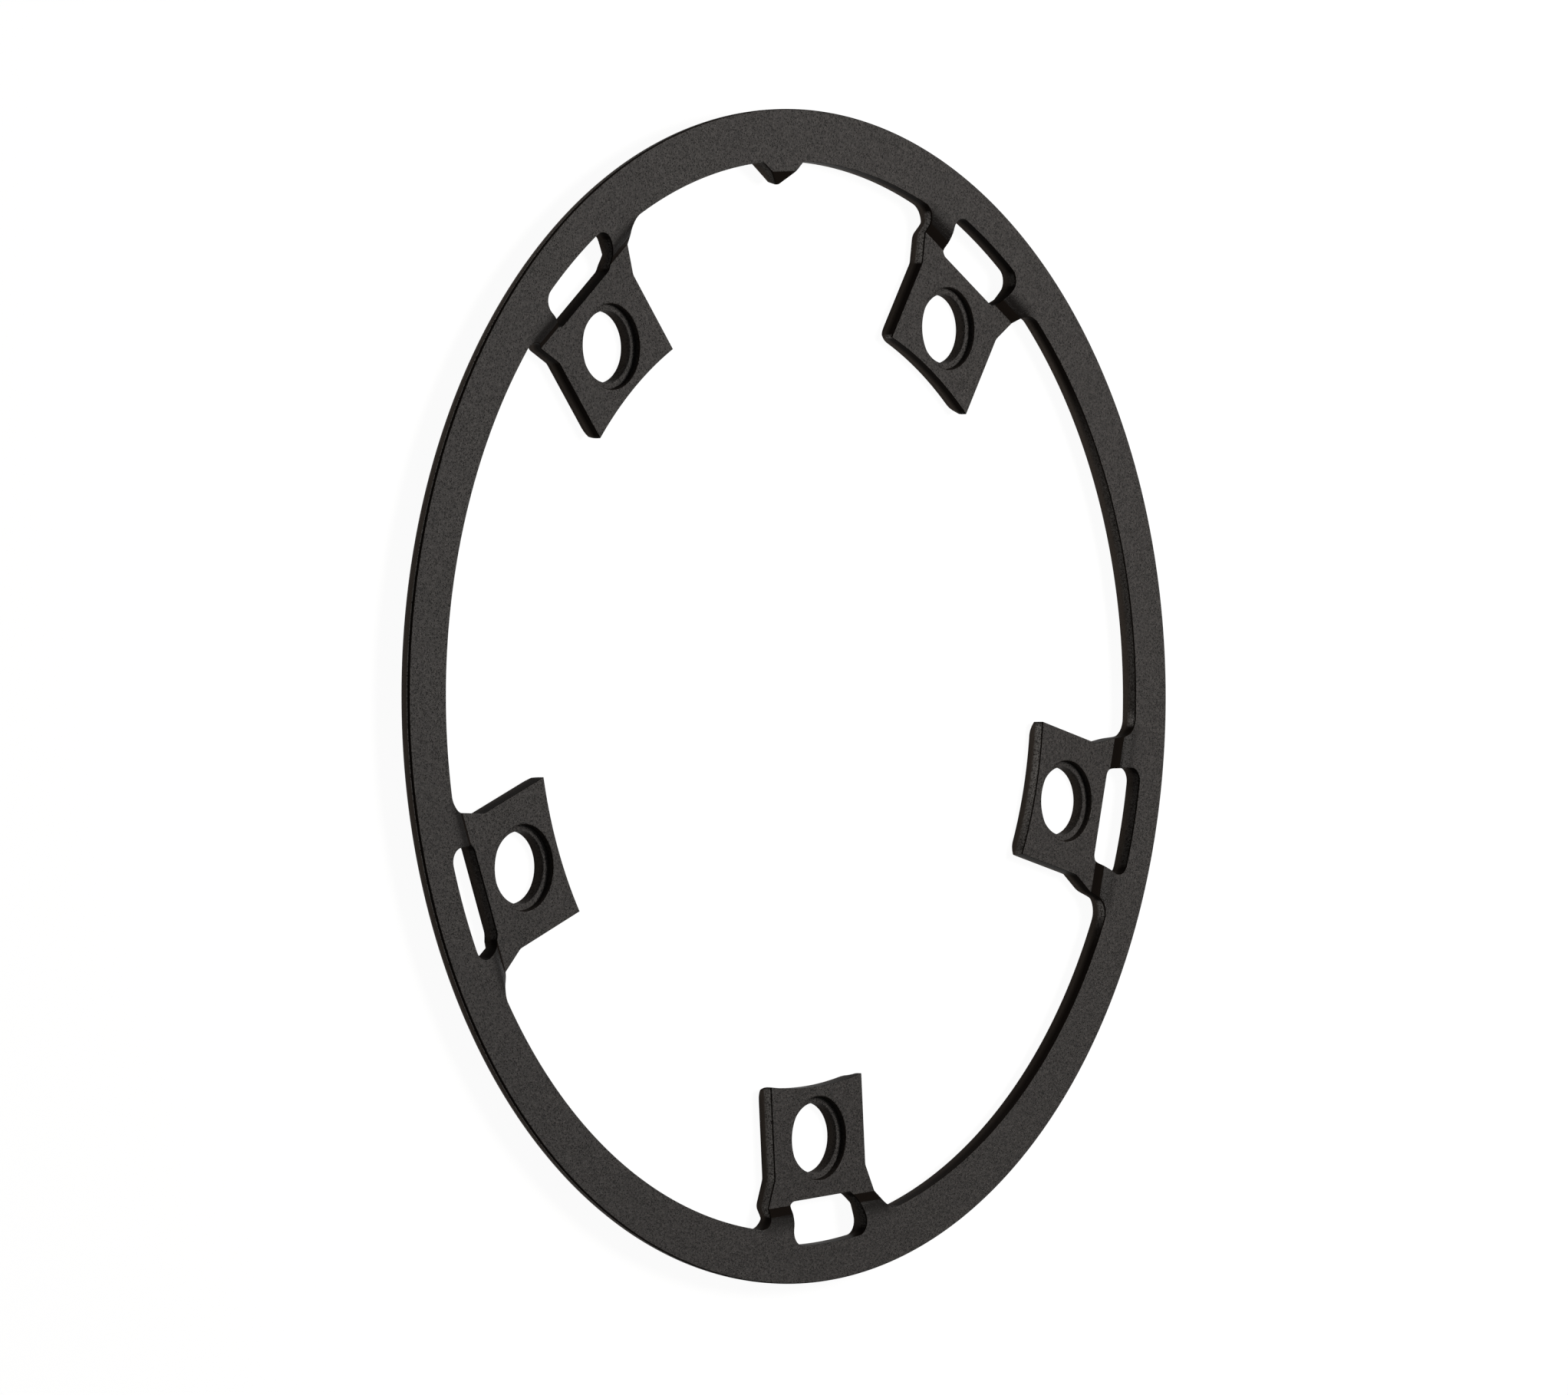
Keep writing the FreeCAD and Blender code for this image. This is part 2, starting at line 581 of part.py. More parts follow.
def add_bevel(turn):
    """Slopes the front of the pointer back towards its tip."""
    tilt = add_plane("BevelPlane", turn, FreeCAD.Vector(-1, 0, 0))
    tilt.setExpression("AttachmentOffset.Base.y", f"-{bevel_start}")
    tilt.setExpression("AttachmentOffset.Base.z", front_level)
    tilt.setExpression("AttachmentOffset.Rotation.Angle", "Sizes.bevelAngle * 1 deg")
    sketch = add_sketch("BevelOutline", tilt)
    half = size("Sizes.pointerWidth")
    reach = size(bevel_run) + cut_margin
    corners = [point(-half, 0), point(half, 0), point(half, reach), point(-half, reach)]
    edges = [line(sketch, corners[i], corners[(i + 1) % 4]) for i in range(4)]
    for i in range(4):
        constrain(sketch, "Coincident", edges[i], 2, edges[(i + 1) % 4], 1)
    constrain(sketch, "Symmetric", edges[0], 1, edges[0], 2, *origin_point)
    constrain(sketch, "Horizontal", edges[0])
    constrain(sketch, "Vertical", edges[1])
    constrain(sketch, "Horizontal", edges[2])
    constrain(sketch, "Vertical", edges[3])
    dimension(sketch, "DistanceX", (*origin_point, edges[1], 2), "Sizes.pointerWidth", "bevelHalf")
    dimension(sketch, "DistanceY", (*origin_point, edges[1], 2), f"{bevel_run} + {cut_margin}", "bevelRun")
    doc.recompute()
    before = body.Shape.Volume
    pocket = body.newObject("PartDesign::Pocket", "Bevel")
    pocket.Profile = sketch
    pocket.Reversed = True
    pocket.setExpression("Length", "Sizes.sheet")
    doc.recompute()
    if not body.Shape.Volume < before:
        raise RuntimeError("Bevel cuts nothing")


def add_plane(name, support, axis):
    """A datum plane turned about an axis of the plane that carries it."""
    plane = body.newObject("PartDesign::Plane", name)
    plane.AttachmentSupport = [(support, "")]
    plane.MapMode = "FlatFace"
    plane.AttachmentOffset = FreeCAD.Placement(FreeCAD.Vector(), FreeCAD.Rotation(axis, 1))
    return plane


def check_document():
    """Stops where an object failed or the guard isn't one valid solid."""
    for item in doc.Objects:
        if "Invalid" in item.State or "Error" in item.State:
            raise RuntimeError(f"{item.Name} failed: {item.State}")
    shape = body.Shape
    if shape.isNull() or not shape.isValid() or len(shape.Solids) != 1:
        raise RuntimeError("the guard is not one valid solid")


add_ring()
add_tab_blank()
add_front_recess()
add_rear_relief()
add_slot()
add_hole()
round_edges()
add_pattern()
add_pointer()
doc.recompute()
check_document()

os.makedirs("parts", exist_ok=True)
body.Shape.exportStep(f"parts/{body.Label}.step")
print(f"{body.Label}: {body.Shape.Volume:.0f} mm3, box {body.Shape.BoundBox}")
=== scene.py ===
import math

import bmesh
import bpy
from mathutils import Matrix, Vector


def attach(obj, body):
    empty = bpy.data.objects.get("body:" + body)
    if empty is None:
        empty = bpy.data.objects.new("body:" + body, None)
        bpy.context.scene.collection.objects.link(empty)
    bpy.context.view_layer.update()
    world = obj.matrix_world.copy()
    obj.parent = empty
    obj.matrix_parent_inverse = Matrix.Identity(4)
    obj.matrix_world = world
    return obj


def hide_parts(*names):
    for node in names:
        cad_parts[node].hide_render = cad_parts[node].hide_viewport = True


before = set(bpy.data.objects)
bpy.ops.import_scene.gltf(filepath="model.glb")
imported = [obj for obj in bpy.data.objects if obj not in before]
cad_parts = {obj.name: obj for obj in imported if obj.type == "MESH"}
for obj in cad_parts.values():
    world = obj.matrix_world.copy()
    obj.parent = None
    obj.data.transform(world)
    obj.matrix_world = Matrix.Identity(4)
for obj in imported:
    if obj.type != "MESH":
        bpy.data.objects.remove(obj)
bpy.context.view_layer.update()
print("frame loaded")

# Sizes in millimetres and degrees: one tab on -Y, the pointer on +Y.
guard = {
    "tabs": 5,
    "sheet": 2.8,  # thickness of the sheet
    "clearRadius": 55.0,  # no sheet lies nearer the middle
    "ringInner": 78.3,
    "ringOuter": 85.86,
    "rimJoin": 83.2,  # where the flat of the sheet meets the turned rim
    "rimEdge": ((0.2, 0), (0.12, 0.015), (0.06, 0.06), (0.015, 0.12), (0, 0.2)),  # in, down
    "rimRound": 2.3,  # wide roll on the rim's rear edge
    "tabEnd": 57.4,
    "tabHalf": 10.3,
    "flareStart": 70.0,
    "flare": 23.8,
    "kinkRound": 1.5,
    "rootRound": 3.0,
    "rootReach": 6.0,  # how far the roots spread beside a tab
    "boltRadius": 65.0,
    "holeRound": 5.15,
    "holeEdge": (0.12, 0.035),  # soft edge of the hole: reach, middle
    "ledgeRound": 6.07,
    "ledgeDepth": 1.0,
    "ledgeLip": 0.28,  # soft edge of the counterbore
    "ledgeHollow": (0.1, 0.03),  # soft corner at its foot: reach, middle
    "slotInner": 73.65,
    "slotHalf": 7.19,
    "slotEnd": 15.7,  # slant of the slot's ends
    "slotTabRound": 1.4,
    "slotRingRound": 2.0,
    "slotOuter": 80.3,
    "frontEdge": 0.08,  # edge left by the punch on the front
    "rearEdge": 0.4,  # edge drawn over by the punch on the rear
    "plainBand": 0.6,  # near the rim's join and the holes the plate's edge stays square
    "cornerDraw": 0.5,  # how far a tab's rear corners are pulled over
    "cornerReach": 2.0,
    "cornerFrom": 0.35,  # as a share of the sheet's depth
    "cornerPoints": (0.6, 1.0, 1.5, 2.2),  # spots beside a corner that are pulled with it
    "recess": 1.5,  # tab's front below the ring's front
    "frontRamp": (74.1, 75.85, 0.3, 3.2),  # foot, top, hollow, round
    "rearRamp": (73.85, 75.5, 1.4, 0.6),
    "rampCut": 18.0,  # half the width that the bend lines cut
    "rampEnd": 16.0,  # the ring is level from here, beside the roots
    "rampFade": 2.5,
    "sagStart": 78.6,  # the shoulder above the front ramp sags from here
    "sagRun": 2.75,
    "sagPoints": (0.1, 0.45, 0.8, 1.15, 1.5),
    "sag": 0.14,  # as a share of the recess
    "drawnRun": 0.1,  # where the coat turns smooth and darker with painted shade above the ramp's foot
    "drawnGain": 1.3,
}
pointer = {
    "cornerRadius": 76.45,
    "cornerHalf": 2.35,
    "spread": 52.0,
    "footRound": 1.5,
    "apex": 74.9,
    "noseRound": 0.8,
    "rearBlunt": 0.35,  # how far the rear of the tip is dragged back
    "bluntRun": 1.5,
    "bluntFrom": 0.3,  # as a share of the sheet's depth
    "bevelStart": 76.75,  # the front of the tip slopes back from here
    "bevelRound": 0.3,
    "bevelSlope": 0.81,
    "zoneHalf": 6.0,
    "zoneStart": 74.0,
    "slopeFrom": 70.0,
}
# How the punch left the walls: shares of torn metal, painted lighter as if lit on walls that face -X,
# and of a lighter brown rolled band towards the rear that is a painted reflection.
walls = {
    # depth below the front, share torn there
    "zones": ((0.2, 0.0), (0.32, 1.0), (0.9, 1.0), (1.45, 1.0), (1.75, 0.0), (2.4, 0.0)),
    "litFacing": (0.84, 0.12),  # how far a wall faces -X, where the torn colour is painted on as light: start, span
    "tornPointer": 0.3,
    "tornLitRing": 0.3,
    "tornLitSlot": 0.25,
    "slotMargin": 0.5,
    # painted highlight: a light line round the through-hole's top edge
    "holeEdgeHighlight": 0.8,
    "tornHole": 0.14,
    "tornLedge": 0.06,
    "holeTouch": 0.05,
    "rimLine": (0.4, 0.48),  # depths of the thin torn line round the rim
    "rimFade": (0.04, 0.06),  # above it, below it
    "rimSink": 0.0004,  # the rim's roll has begun just below the line
    "rimTouch": 0.02,
    "rolledDepth": (1.2, 0.6),  # start, span
    "sheenLeast": 0.3,
    "sheenWay": (-0.8, -0.6, 0.0),  # walls that face this way get a lighter, browner painted reflection
    "sheenFacing": (0.1, 0.6),  # start, span
}
# Limits for the z part of a face's normal, which tell flats, slopes and walls apart.
tilts = {"wall": 0.85, "graded": 0.8, "slope": 0.88, "pointerSlope": 0.92, "leastSlope": 0.3}
# Steps in each curve.
fineness = {
    "nose": 5, "foot": 6, "tabEnd": 16, "kink": 4, "root": 12, "ring": 18, "ringFoot": 4,
    "slotEnd": 8, "slotOuter": 6, "hole": 96, "rim": 360, "lip": 5, "roll": 12,
    "frontEdge": 2, "rearEdge": 5, "rampFoot": 4, "rampTop": 6, "bevel": 4,
}
# Spots closer than this become one, or count as one.
weld = {"halves": 0.001, "tabs": 0.002, "pieces": 0.003, "feet": 0.01, "cuts": 0.0005}
tabTurn = math.tau / guard["tabs"]


def clamp(share):
    return min(1.0, max(0.0, share))


def heading(spot):
    return math.degrees(math.atan2(spot[1], spot[0]))


def startPen(bm, x, y, z=0.0):
    return bmesh.ops.create_vert(bm, co=(x, y, z))["vert"][0]


def drawLine(bm, pen, x, y, z=0.0):
    tip = bmesh.ops.extrude_vert_indiv(bm, verts=[pen])["verts"][0]
    tip.co = (x, y, z)
    return tip


def drawArc(bm, pen, centre, turn, steps):
    swept = bmesh.ops.spin(bm, geom=[pen], cent=(centre[0], centre[1], 0), axis=(0, 0, 1),
                           angle=math.radians(turn), steps=steps, use_duplicate=False)
    return swept["geom_last"][0]


# How far a spot travels along a way until it reaches a radius.
def travelTo(base, along, radius):
    half = base.dot(along)
    return -half + math.sqrt(half ** 2 - base.length_squared + radius ** 2)


# Goes on along a slanted side and by a tangent round into the ring's inner edge.
def drawRoot(bm, pen, slant, rounding, steps):
    lean = math.radians(slant)
    along = Vector((math.sin(lean), -math.cos(lean)))
    across = Vector((math.cos(lean), math.sin(lean)))
    base = pen.co.xy + across * rounding
    reach = travelTo(base, along, guard["ringInner"] - rounding)
    centre = base + along * reach
    pen = drawLine(bm, pen, *(pen.co.xy + along * reach))
    return drawArc(bm, pen, centre, (heading(centre) - heading(-across)) % 360, steps)


def drawPointerHalf(bm):
    centre = Vector((0, -(pointer["apex"] + pointer["noseRound"])))
    corner = Vector((pointer["cornerHalf"], -pointer["cornerRadius"]))
    side = corner - centre
    touch = heading(side) + math.degrees(math.acos(pointer["noseRound"] / side.length))
    pen = startPen(bm, 0, -pointer["apex"])
    pen = drawArc(bm, pen, centre, touch - 90, fineness["nose"])
    pen = drawLine(bm, pen, *corner)
    return drawRoot(bm, pen, pointer["spread"], pointer["footRound"], fineness["foot"])


def drawTabHalf(bm, footAngle):
    half, kink = guard["tabHalf"], guard["kinkRound"]
    pen = startPen(bm, 0, -guard["tabEnd"])
    endAngle = math.degrees(math.asin(half / guard["tabEnd"]))
    pen = drawArc(bm, pen, (0, 0), endAngle, fineness["tabEnd"])
    cornerY = pen.co.y
    for step in guard["cornerPoints"]:
        pen = drawLine(bm, pen, half, cornerY - step)
    kinkY = kink * math.tan(math.radians(guard["flare"]) / 2) - guard["flareStart"]
    pen = drawLine(bm, pen, half, kinkY)
    pen = drawArc(bm, pen, (half + kink, kinkY), guard["flare"], fineness["kink"])
    pen = drawRoot(bm, pen, guard["flare"], guard["rootRound"], fineness["root"])
    ringTurn = 180 / guard["tabs"] - footAngle - 90 - heading(pen.co)
    pen = drawArc(bm, pen, (0, 0), ringTurn, fineness["ring"])
    drawArc(bm, pen, (0, 0), footAngle, fineness["ringFoot"])


def drawSlotHalf(bm):
    slant = math.radians(guard["slotEnd"])
    near, far = guard["slotTabRound"], guard["slotRingRound"]
    reach = near * math.tan((math.pi / 2 - slant) / 2)
    along = Vector((math.sin(slant), -math.cos(slant)))
    pen = startPen(bm, 0, -guard["slotInner"])
    pen = drawLine(bm, pen, guard["slotHalf"] - reach, -guard["slotInner"])
    pen = drawArc(bm, pen, (pen.co.x, pen.co.y - near), guard["slotEnd"] - 90, fineness["slotEnd"])
    base = pen.co.xy - Vector((math.cos(slant), math.sin(slant))) * far
    travel = travelTo(base, along, guard["slotOuter"] - far)
    centre = base + along * travel
    pen = drawLine(bm, pen, *(pen.co.xy + along * travel))
    pen = drawArc(bm, pen, centre, heading(centre) - guard["slotEnd"], fineness["slotEnd"])
    drawArc(bm, pen, (0, 0), -90 - heading(pen.co), fineness["slotOuter"])


def mirrorHalf(bm):
    bmesh.ops.mirror(bm, geom=bm.verts[:] + bm.edges[:], matrix=Matrix.Identity(4),
                     merge_dist=weld["halves"], axis="X")


def repeatTabs(bm):
    copies = guard["tabs"] - 1
    bmesh.ops.spin(bm, geom=bm.verts[:] + bm.edges[:] + bm.faces[:], cent=(0, 0, 0), axis=(0, 0, 1),
                   angle=tabTurn * copies, steps=copies, use_duplicate=True)
    bmesh.ops.remove_doubles(bm, verts=bm.verts[:], dist=weld["tabs"])


def joinInto(bm, other):
    passing = bpy.data.meshes.new("passing")
    other.to_mesh(passing)
    other.free()
    bm.from_mesh(passing)
    bpy.data.meshes.remove(passing)
    bmesh.ops.remove_doubles(bm, verts=bm.verts[:], dist=weld["pieces"])


# One flat side of the sheet, cut to its outline and laid on z = 0.
def drawPlate(holeRound):
    lug = bmesh.new()
    foot = drawPointerHalf(lug)
    footX = foot.co.x
    footAngle = heading(foot.co) + 90
    mirrorHalf(lug)
    bmesh.ops.rotate(lug, verts=lug.verts[:], cent=(0, 0, 0), matrix=Matrix.Rotation(math.pi, 3, "Z"))
    bm = bmesh.new()
    drawTabHalf(bm, footAngle)
    drawSlotHalf(bm)
    mirrorHalf(bm)
    bmesh.ops.create_circle(bm, cap_ends=False, segments=fineness["hole"], radius=holeRound,
                            matrix=Matrix.Translation((0, -guard["boltRadius"], 0)))
    repeatTabs(bm)
    # the pointer takes the place of the inner edge between its feet
    spare = [v for v in bm.verts if v.co.y > 0 and abs(v.co.x) < footX - weld["feet"]]
    bmesh.ops.delete(bm, geom=spare, context="VERTS")
    joinInto(bm, lug)
    bmesh.ops.create_circle(bm, cap_ends=False, segments=fineness["rim"], radius=guard["rimJoin"])
    bmesh.ops.triangle_fill(bm, use_beauty=True, use_dissolve=False, edges=bm.edges[:], normal=(0, 0, 1))
    return bm


# Where a spot lies along its tab's middle line and across it.
def tabPlace(spot):
    nearest = round((math.atan2(spot.y, spot.x) + math.pi / 2) / tabTurn) * tabTurn - math.pi / 2
    along = spot.x * math.cos(nearest) + spot.y * math.sin(nearest)
    across = spot.y * math.cos(nearest) - spot.x * math.sin(nearest)
    return along, across


def nearHole(spot, reach):
    along, across = tabPlace(spot)
    return math.hypot(along - guard["boltRadius"], across) < reach


def atPointer(spot):
    return abs(spot.x) < pointer["zoneHalf"] and spot.y > pointer["zoneStart"]


def spread(first, last, steps):
    return [first + (last - first) * k / steps for k in range(steps + 1)]


def rampLines(foot, top, footRound, topRound):
    lean = math.atan2(guard["recess"], top - foot)
    footReach, topReach = footRound * math.tan(lean / 2), topRound * math.tan(lean / 2)
    lines = spread(foot - footReach, foot + footReach * math.cos(lean), fineness["rampFoot"])
    return lines + spread(top - topReach * math.cos(lean), top + topReach, fineness["rampTop"])


def cutBendLines(bm):
    shoulder = [guard["sagStart"] - step for step in guard["sagPoints"]]
    radii = sorted(rampLines(*guard["frontRamp"]) + rampLines(*guard["rearRamp"]) + shoulder)
    for tab in range(guard["tabs"]):
        angle = tabTurn * tab - math.pi / 2
        way = Vector((math.cos(angle), math.sin(angle), 0))
        side = Vector((-way.y, way.x, 0))
        for radius in radii:
            cutAcross(bm, way, side, radius, guard["rampCut"])
    start, rounding = pointer["bevelStart"], pointer["bevelRound"]
    for radius in spread(start - rounding, start + rounding, fineness["bevel"]):
        cutAcross(bm, Vector((0, 1, 0)), Vector((1, 0, 0)), radius, pointer["zoneHalf"])


def cutAcross(bm, way, side, radius, reach):
    def inReach(v):
        return abs(v.co.dot(side)) < reach and v.co.dot(way) > guard["clearRadius"]

    faces = [f for f in bm.faces if any(inReach(v) for v in f.verts)]
    edges = {e for f in faces for e in f.edges}
    verts = {v for f in faces for v in f.verts}
    bmesh.ops.bisect_plane(bm, geom=list(verts) + list(edges) + faces, dist=weld["cuts"],
                           plane_co=way * radius, plane_no=way)


# Rounds the plate's cut edges by insets that are then let down, but not round the bolt holes.
def dropEdges(bm, rounding, steps, holeRound):
    band = guard["plainBand"]
    fall = bm.verts.layers.float.new("fall")
    inner = set(bm.faces)
    for step in range(steps + 1):
        angle = math.pi / 2 * step / steps
        rim = [e for e in bm.edges if sum(f in inner for f in e.link_faces) == 1]
        for v in {v for e in rim for v in e.verts}:
            flat = v.co.xy.length > guard["rimJoin"] - band or nearHole(v.co, holeRound + band)
            v[fall] = 0.0 if flat else rounding * (1 - math.sin(angle))
        if step < steps:
            width = rounding * (math.cos(angle) - math.cos(math.pi / 2 * (step + 1) / steps))
            bmesh.ops.inset_region(bm, faces=list(inner), thickness=width, use_boundary=True,
                                   use_even_offset=True)
    for v in bm.verts:
        v.co.z = -v[fall]
    bm.verts.layers.float.remove(fall)


# A line of spots (radius, height) turned about an upright axis.
def turnProfile(spots, middle, steps):
    bm = bmesh.new()
    pen = startPen(bm, middle[0] + spots[0][0], middle[1], spots[0][1])
    for radius, height in spots[1:]:
        pen = drawLine(bm, pen, middle[0] + radius, middle[1], height)
    bmesh.ops.spin(bm, geom=bm.verts[:] + bm.edges[:], cent=(middle[0], middle[1], 0), axis=(0, 0, 1),
                   angle=math.tau, steps=steps, use_merge=True, use_duplicate=False)
    bm.normal_update()
    for f in bm.faces:
        f.material_index = 1 if abs(f.normal.z) < tilts["wall"] else 0
    return bm


def turnHole():
    outer, inner, ledge = guard["ledgeRound"], guard["holeRound"], guard["ledgeDepth"]
    lip, hollow, edge = guard["ledgeLip"], guard["ledgeHollow"], guard["holeEdge"]
    spots = []
    for angle in spread(0, math.pi / 2, fineness["lip"]):
        spots.append((outer + lip * (1 - math.sin(angle)), lip * (math.cos(angle) - 1)))
    spots += [(outer, hollow[0] - ledge), (outer - hollow[1], hollow[1] - ledge)]
    spots += [(outer - hollow[0], -ledge), (inner + edge[0], -ledge)]
    spots += [(inner + edge[1], -ledge - edge[1]), (inner, -ledge - edge[0]), (inner, -guard["sheet"])]
    bm = turnProfile(spots, (0, -guard["boltRadius"]), fineness["hole"])
    repeatTabs(bm)
    return bm


def turnRim():
    outer, rounding, thick = guard["ringOuter"], guard["rimRound"], guard["sheet"]
    top, bottom = walls["rimLine"]
    above, below = walls["rimFade"]
    spots = [(guard["rimJoin"], 0)]
    spots += [(outer - inward, -down) for inward, down in guard["rimEdge"]]
    spots += [(outer, above - top), (outer, -top), (outer, -bottom)]
    spots.append((outer - walls["rimSink"], -below - bottom))
    for angle in spread(0, math.pi / 2, fineness["roll"])[1:]:
        inward, down = rounding * (1 - math.cos(angle)), rounding * math.sin(angle)
        spots.append((outer - inward, rounding - thick - down))
    spots.append((guard["rimJoin"], -thick))
    return turnProfile(spots, (0, 0), fineness["rim"])


# Height of a ramp above the tab, rounded at its foot and its top.
def stepHeight(radius, foot, top, footRound, topRound):
    rise = guard["recess"]
    lean = math.atan2(rise, top - foot)
    footReach, topReach = footRound * math.tan(lean / 2), topRound * math.tan(lean / 2)
    if radius <= foot - footReach:
        return 0.0
    if radius < foot + footReach * math.cos(lean):
        return footRound - math.sqrt(footRound ** 2 - (radius - foot + footReach) ** 2)
    if radius <= top - topReach * math.cos(lean):
        return (radius - foot) * math.tan(lean)
    if radius < top + topReach:
        return rise - topRound + math.sqrt(topRound ** 2 - (top + topReach - radius) ** 2)
    return rise


def softRise(distance, width):
    if distance <= -width:
        return 0.0
    if distance < width:
        return (distance + width) ** 2 / (4 * width)
    return distance


# Sets the tab back and notes where the front is drawn over the ramp, where the coat takes painted shade.
def bendTab(v, share, drawn):
    along, across = tabPlace(v.co)
    if along > guard["sagStart"] or abs(across) > guard["rampEnd"]:
        return
    sagged = clamp((guard["sagStart"] - along) / guard["sagRun"])
    front = stepHeight(along, *guard["frontRamp"]) * (1 - guard["sag"] * sagged ** 2)
    rear = stepHeight(along, *guard["rearRamp"])
    ease = clamp((guard["rampEnd"] - abs(across)) / guard["rampFade"])
    v.co.z += (front * (1 - share) + rear * share - guard["recess"]) * ease
    aboveFoot = clamp((along - guard["frontRamp"][0]) / guard["drawnRun"])
    v[drawn] = aboveFoot * clamp(sagged * guard["drawnGain"]) * ease


def bevelPointer(v, share):
    if not atPointer(v.co):
        return
    fall = softRise(pointer["bevelStart"] - v.co.y, pointer["bevelRound"])
    v.co.z -= pointer["bevelSlope"] * fall * (1 - share)
    rearward = clamp((share - pointer["bluntFrom"]) / (1 - pointer["bluntFrom"]))
    pull = clamp((pointer["cornerRadius"] - v.co.y) / pointer["bluntRun"]) * rearward
    v.co.x *= 1 + pull
    v.co.y += pull * pointer["rearBlunt"]


# The punch draws the outer corners of a tab over more than its sides.
def drawCorner(v, share):
    along, across = tabPlace(v.co)
    cornerAlong = math.sqrt(guard["tabEnd"] ** 2 - guard["tabHalf"] ** 2)
    away = math.hypot(along - cornerAlong, abs(across) - guard["tabHalf"])
    rearward = clamp((share - guard["cornerFrom"]) / (1 - guard["cornerFrom"]))
    pull = guard["cornerDraw"] * clamp(1 - away / guard["cornerReach"]) ** 2 * rearward ** 1.5
    if pull > 0:
        v.co += Vector((v.co.x, v.co.y, 0)).normalized() * pull
        v.co.z += pull


# Walls that face -X take the light torn colour, most of all on the tabs: painted light by which way a
# wall faces, laid on real torn metal.
def facingLitShare(spot, facing):
    if atPointer(spot):
        return walls["tornPointer"]
    along, across = tabPlace(spot)
    start, span = walls["litFacing"]
    share = clamp((-facing.x - start) / span)
    if abs(across) > guard["tabHalf"] + guard["rootReach"]:
        return share * walls["tornLitRing"]
    margin = walls["slotMargin"]
    if along > guard["slotInner"] - margin and abs(across) < guard["tabHalf"] - margin:
        return share * walls["tornLitSlot"]
    return share


# Torn walls facing -X are painted lighter as if lit, the hole's top edge gets a painted highlight line,
# and rolled rear edges a painted reflection.
def gradeWalls(bm, tornAndLit, rolledSheen):
    top, bottom = walls["rimLine"]
    deep, deepSpan = walls["rolledDepth"]
    lit, litSpan = walls["sheenFacing"]
    least, touch, near = walls["sheenLeast"], walls["rimTouch"], walls["holeTouch"]
    for v in bm.verts:
        cut = [f.normal for f in v.link_faces if f.material_index == 1]
        sides = [normal for normal in cut if abs(normal.z) < tilts["graded"]]
        if not sides:
            continue
        depth = -v.co.z
        facing = sum(sides, Vector()).normalized()
        towards = clamp((facing.dot(Vector(walls["sheenWay"])) - lit) / litSpan)
        # painted reflection: the rolled band is lighter on walls that face -X and -Y
        v[rolledSheen] = clamp((depth - deep) / deepSpan) * (least + (1 - least) * towards)
        if nearHole(v.co, guard["holeRound"] + near):
            # painted highlight along the through-hole's top edge
            atEdge = depth < guard["ledgeDepth"] + guard["holeEdge"][0] / 2
            v[tornAndLit] = walls["holeEdgeHighlight"] if atEdge else walls["tornHole"]
        elif nearHole(v.co, guard["ledgeRound"] + near):
            v[tornAndLit] = walls["tornLedge"]
        elif v.co.xy.length > guard["rimJoin"]:
            v[tornAndLit] = 1.0 if top - touch < depth < bottom + touch else 0.0
            # the rim's rear roll takes the rolled colour in full: a painted reflection
            v[rolledSheen] = 1.0 if depth > bottom + touch else 0.0
        else:
            v[tornAndLit] *= facingLitShare(v.co, facing)


# Lets the front plate's outline down in steps, and notes how far each step is torn.
def dropWalls(bm, outline, tornAndLit):
    for depth, share in walls["zones"]:
        made = bmesh.ops.extrude_edge_only(bm, edges=outline)["geom"]
        loop = {g for g in made if isinstance(g, bmesh.types.BMVert)}
        for v in loop:
            v.co.z = -depth
            v[tornAndLit] = share
        for f in made:
            if isinstance(f, bmesh.types.BMFace):
                f.material_index = 1
        edges = [g for g in made if isinstance(g, bmesh.types.BMEdge)]
        outline = [e for e in edges if all(v in loop for v in e.verts)]


# The front's slopes take the dark, dull wall material: painted shade on the drawn slopes.
def shadeSlopes(bm, lipRound):
    bm.normal_update()
    for f in bm.faces:
        centre = f.calc_center_median()
        limit = tilts["pointerSlope"] if centre.y > pointer["slopeFrom"] else tilts["slope"]
        sloped = tilts["leastSlope"] < f.normal.z < limit
        if f.material_index == 0 and sloped and not nearHole(centre, lipRound):
            f.material_index = 1


